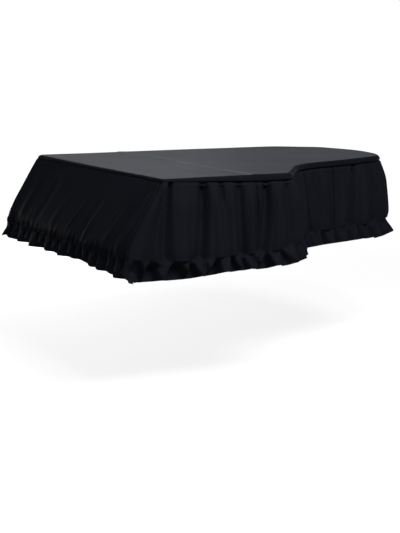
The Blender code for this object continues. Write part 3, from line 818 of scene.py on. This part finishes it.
def stitch_tree(material):
    """Geometry nodes: a stitch at even steps along every curve, lying along it."""
    tree = bpy.data.node_groups.new("stitch_row", "GeometryNodeTree")
    tree.interface.new_socket("Geometry", in_out="INPUT", socket_type="NodeSocketGeometry")
    for label in ("Step", "Stitch length", "Thread"):
        tree.interface.new_socket(label, in_out="INPUT", socket_type="NodeSocketFloat")
    tree.interface.new_socket("Geometry", in_out="OUTPUT", socket_type="NodeSocketGeometry")
    source = add(tree, "NodeGroupInput")
    path = add(tree, "GeometryNodeMeshToCurve", None, {"Mesh": source.outputs["Geometry"]})
    points = add(tree, "GeometryNodeCurveToPoints", None,
                 {"Curve": path.outputs["Curve"], "Length": source.outputs["Step"]}, mode="LENGTH")
    lump = add(tree, "GeometryNodeMeshUVSphere", {"Segments": 6, "Rings": 4, "Radius": 0.5})
    size = add(tree, "ShaderNodeCombineXYZ", None,
               {"X": source.outputs["Thread"], "Y": source.outputs["Thread"],
                "Z": source.outputs["Stitch length"]})
    stitches = add(tree, "GeometryNodeInstanceOnPoints", None,
                   {"Points": points.outputs["Points"], "Instance": lump.outputs["Mesh"],
                    "Rotation": points.outputs["Rotation"], "Scale": size.outputs["Vector"]})
    real = add(tree, "GeometryNodeRealizeInstances", None, {"Geometry": stitches.outputs["Instances"]})
    finish = add(tree, "GeometryNodeSetMaterial", {"Material": material},
                 {"Geometry": real.outputs["Geometry"]})
    result = add(tree, "NodeGroupOutput")
    tree.links.new(finish.outputs["Geometry"], result.inputs["Geometry"])
    return tree


def stitch_row(name, paths, tree, step=0.0042, length=0.0030, thread=0.0009):
    """Stitches along the given paths, as one plain mesh."""
    mesh = bpy.data.meshes.new(name + "_path")
    verts, edges = [], []
    for path in paths:
        start = len(verts)
        verts += [tuple(p) for p in path]
        edges += [(k, k + 1) for k in range(start, len(verts) - 1)]
    mesh.from_pydata(verts, edges, [])
    guide = bpy.data.objects.new(name + "_path", mesh)
    bpy.context.scene.collection.objects.link(guide)
    modifier = guide.modifiers.new("stitches", "NODES")
    modifier.node_group = tree
    sizes = {"Step": step, "Stitch length": length, "Thread": thread}
    for item in tree.interface.items_tree:
        if item.in_out == "INPUT" and item.name in sizes:
            modifier[item.identifier] = sizes[item.name]
    bpy.context.view_layer.update()
    evaluated = guide.evaluated_get(bpy.context.evaluated_depsgraph_get())
    result = bpy.data.meshes.new_from_object(evaluated)
    result.name = name
    bpy.data.objects.remove(guide, do_unlink=True)
    obj = bpy.data.objects.new(name, result)
    bpy.context.scene.collection.objects.link(obj)
    return obj


def row_at(points, normals, level, proud=0.0003):
    """A line across a hanging piece at a level, standing a little proud of the cloth."""
    row = levels()
    j = min(max(int(np.searchsorted(row, level)), 1), len(row) - 1)
    share = (level - row[j - 1]) / (row[j] - row[j - 1])
    line = points[:, j - 1] * (1 - share) + points[:, j] * share
    return line + normals[:, j] * proud


# ---- build --------------------------------------------------------------------------------------

corner_half = PIECES[0].length / 2
front_stations = np.concatenate([
    spread(-FRONT_LENGTH, corner_half - FRONT_LENGTH, FAN_STEP)[:-1],
    spread(corner_half - FRONT_LENGTH, -corner_half, FRONT_STEP)[:-1],
    spread(-corner_half, 0.0, FAN_STEP),
])
treble_stations = np.concatenate([
    spread(0.0, FAN_REACH, FAN_STEP)[:-1],
    spread(FAN_REACH, SIDE_SEAM, TREBLE_STEP),
])
spine_stations = np.concatenate([
    spread(SIDE_SEAM, LOOP_END - FAN_REACH, SPINE_STEP)[:-1],
    spread(LOOP_END - FAN_REACH, LOOP_END, FAN_STEP),
])

# The top is a lighter copy of the cloth with much more sheen than the skirts, a painted reflection that
# makes it pale at a low angle. The turned-down edge is a darker copy with little sheen, painted shade, and
# a strip at the raised cross seam is a paler copy, a painted highlight.
top_cloth = woven_polyester("woven_polyester_top", "090a0d", roughness=0.42, gloss=0.02, sheen=0.125)
# A darker copy of the cloth with little sheen for the turned-down edge: painted shade.
edge_shade_cloth = woven_polyester("woven_polyester_turned_edge_shaded", "050608",
                             roughness=0.46, gloss=0.003, sheen=0.010)
# A much paler copy of the cloth with more sheen for the strip at the cross seam: a painted highlight.
seam_highlight_cloth = woven_polyester("woven_polyester_seam_painted_highlight", "1f2126",
                             roughness=0.42, gloss=0.02, sheen=0.135)
skirt_cloth = woven_polyester("woven_polyester_skirt", "07080b", roughness=0.50, gloss=0.001, sheen=0.004)
thread = sewing_thread("sewing_thread", "050608")

front_cloth, front_points, front_normals = hanging_piece("front_cloth", front_stations)
treble_cloth, treble_points, treble_normals = hanging_piece("treble_cloth", treble_stations)
spine_cloth, spine_points, spine_normals = hanging_piece("spine_cloth", spine_stations)
top_front = top_piece("top_front", -FRONT_LENGTH - CHEEK_CROSS_SEAM, CHEEK_CROSS_SEAM, side=-1)
top_main = top_piece("top_main", CHEEK_CROSS_SEAM, LOOP_END - CHEEK_CROSS_SEAM, side=1)

for piece, node, material, slot, flat, area, held in (
    (front_cloth, "front_panel", skirt_cloth, "skirt_cloth", (1.80, 0.48), None, "gathered"),
    (treble_cloth, "treble_skirt", skirt_cloth, "skirt_cloth", (3.40, 0.46), None, "gathered"),
    (spine_cloth, "spine_skirt", skirt_cloth, "skirt_cloth", (2.10, 0.46), None, "gathered"),
    (top_front, "top_front_panel", top_cloth, "top_cloth", (1.55, 0.48), None, "draped"),
    (top_main, "top_main_panel", top_cloth, "top_cloth", (1.56, 1.25), 1.42, "draped"),
):
    piece.data.materials.clear()
    piece.data.materials.append(material)
    if material is top_cloth:
        piece.data.materials.append(edge_shade_cloth)
        piece.data.materials.append(seam_highlight_cloth)
        # Steep faces of the turned edge take the darker copy of the cloth: painted shade.
        for face in piece.data.polygons:
            behind = face.center.y - FRONT_Y - CROSS_SEAM
            # Faces in the strip beside the cross seam take the paler copy: a painted highlight.
            in_seam_highlight = SEAM_HIGHLIGHT_STRIP[0] < behind < SEAM_HIGHLIGHT_STRIP[1]
            face.material_index = 1 if face.normal.z < FLAT_ENOUGH else 2 * in_seam_highlight
    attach(piece, "root")
    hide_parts(node)

sides = ((front_points, front_normals), (treble_points, treble_normals), (spine_points, spine_normals))
tree = stitch_tree(thread)
STITCH_LEVELS = {"gather_stitches": 1.0, "hem_stitches": 1.82, "seam_stitches": 0.022}
for name, level in STITCH_LEVELS.items():
    paths = [row_at(points, normals, level) for points, normals in sides]
    stitches = stitch_row(name, paths, tree)
    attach(stitches, "root")

# ---- stage, light and camera --------------------------------------------------------------------


def pale_floor():
    """A wide flat pale floor that grows brighter outwards, so no line shows where it ends."""
    mesh = bpy.data.meshes.new("floor")
    build = bmesh.new()
    bmesh.ops.create_circle(build, cap_ends=True, cap_tris=False, segments=96, radius=40.0)
    for vert in build.verts:
        vert.co.z = TOP_Z - FLOOR_DROP
    build.to_mesh(mesh)
    build.free()
    floor = bpy.data.objects.new("floor", mesh)
    bpy.context.scene.collection.objects.link(floor)
    material = bpy.data.materials.new("pale_studio_floor")
    material.use_nodes = True
    shader = material.node_tree.nodes["Principled BSDF"]
    shader.inputs["Base Color"].default_value = linear("505050")
    shader.inputs["Emission Color"].default_value = (1.0, 1.0, 1.0, 1.0)
    shader.inputs["Roughness"].default_value = 0.9
    tree = material.node_tree
    place = add(tree, "ShaderNodeTexCoord")
    middle = add(tree, "ShaderNodeVectorMath", None, {0: place.outputs["Object"]}, operation="LENGTH")
    glow = add(tree, "ShaderNodeMapRange",
               {"From Min": 2.5, "From Max": 7.0, "To Min": 0.84, "To Max": 1.0},
               {"Value": middle.outputs["Value"]}, interpolation_type="SMOOTHSTEP")
    tree.links.new(glow.outputs["Result"], shader.inputs["Emission Strength"])
    shader.inputs["Specular IOR Level"].default_value = 0.1
    mesh.materials.append(material)


def area_light(name, place, target, size, power):
    """A soft rectangular light that looks at a point and isn't seen itself."""
    light = bpy.data.lights.new(name, "AREA")
    light.shape = "RECTANGLE"
    light.size, light.size_y = size
    light.energy = power
    obj = bpy.data.objects.new(name, light)
    obj.location = place
    obj.rotation_euler = (Vector(target) - Vector(place)).to_track_quat("-Z", "Y").to_euler()
    obj.visible_camera = False
    bpy.context.scene.collection.objects.link(obj)


def camera_at(place, yaw, pitch, lens):
    """The camera, turned left from +Y by yaw and down by pitch."""
    data = bpy.data.cameras.new("camera")
    data.lens = lens
    data.sensor_width = 36.0
    data.clip_end = 200.0
    camera = bpy.data.objects.new("camera", data)
    camera.location = place
    camera.rotation_euler = (math.radians(90 - pitch), 0.0, math.radians(yaw))
    bpy.context.scene.collection.objects.link(camera)
    bpy.context.scene.camera = camera


def studio_world(horizon, overhead):
    """White round the horizon, like a lit wall, and dimmer light from above."""
    world = bpy.data.worlds.new("studio")
    world.use_nodes = True
    tree = world.node_tree
    place = add(tree, "ShaderNodeTexCoord")
    parts = add(tree, "ShaderNodeSeparateXYZ", None, {"Vector": place.outputs["Generated"]})
    level = add(tree, "ShaderNodeMapRange",
                {"From Min": 0.040, "From Max": 0.13, "To Min": horizon, "To Max": overhead},
                {"Value": parts.outputs["Z"]}, interpolation_type="SMOOTHSTEP")
    background = tree.nodes["Background"]
    background.inputs["Color"].default_value = (1.0, 1.0, 1.0, 1.0)
    tree.links.new(level.outputs["Result"], background.inputs["Strength"])
    bpy.context.scene.world = world


# Sizes in metres and power in watts.
Light = namedtuple("Light", "name place target size power")
LIGHTS = [
    Light("key", (5.5, 0.3, 4.6), (0.2, -0.1, -0.2), (2.2, 2.2), 1350.0),
    Light("grazing", (5.4, -1.7, 4.0), (0.2, -0.7, -0.2), (0.8, 0.8), 520.0),
    Light("front_side", (0.2, -3.0, 5.0), (0.0, -0.9, -0.2), (3.0, 2.0), 20.0),
    Light("top_glow", (-4.8, 1.3, 1.9), (0.2, -0.3, 0.0), (2.0, 1.5), 9.0),
    Light("spine_side", (-4.5, -0.3, -0.45), (-0.7, -0.1, -0.25), (3.0, 0.5), 160.0),
    Light("overhead", (0.5, -0.6, 1.25), (0.3, -0.4, 0.0), (1.0, 1.0), 34.0),
]

pale_floor()
studio_world(horizon=1.0, overhead=0.15)
for light in LIGHTS:
    area_light(*light)
camera_at((5.995, -3.336, 0.569), yaw=62.8836, pitch=9.2577, lens=91.48)
bpy.context.scene.view_settings.view_transform = "Standard"
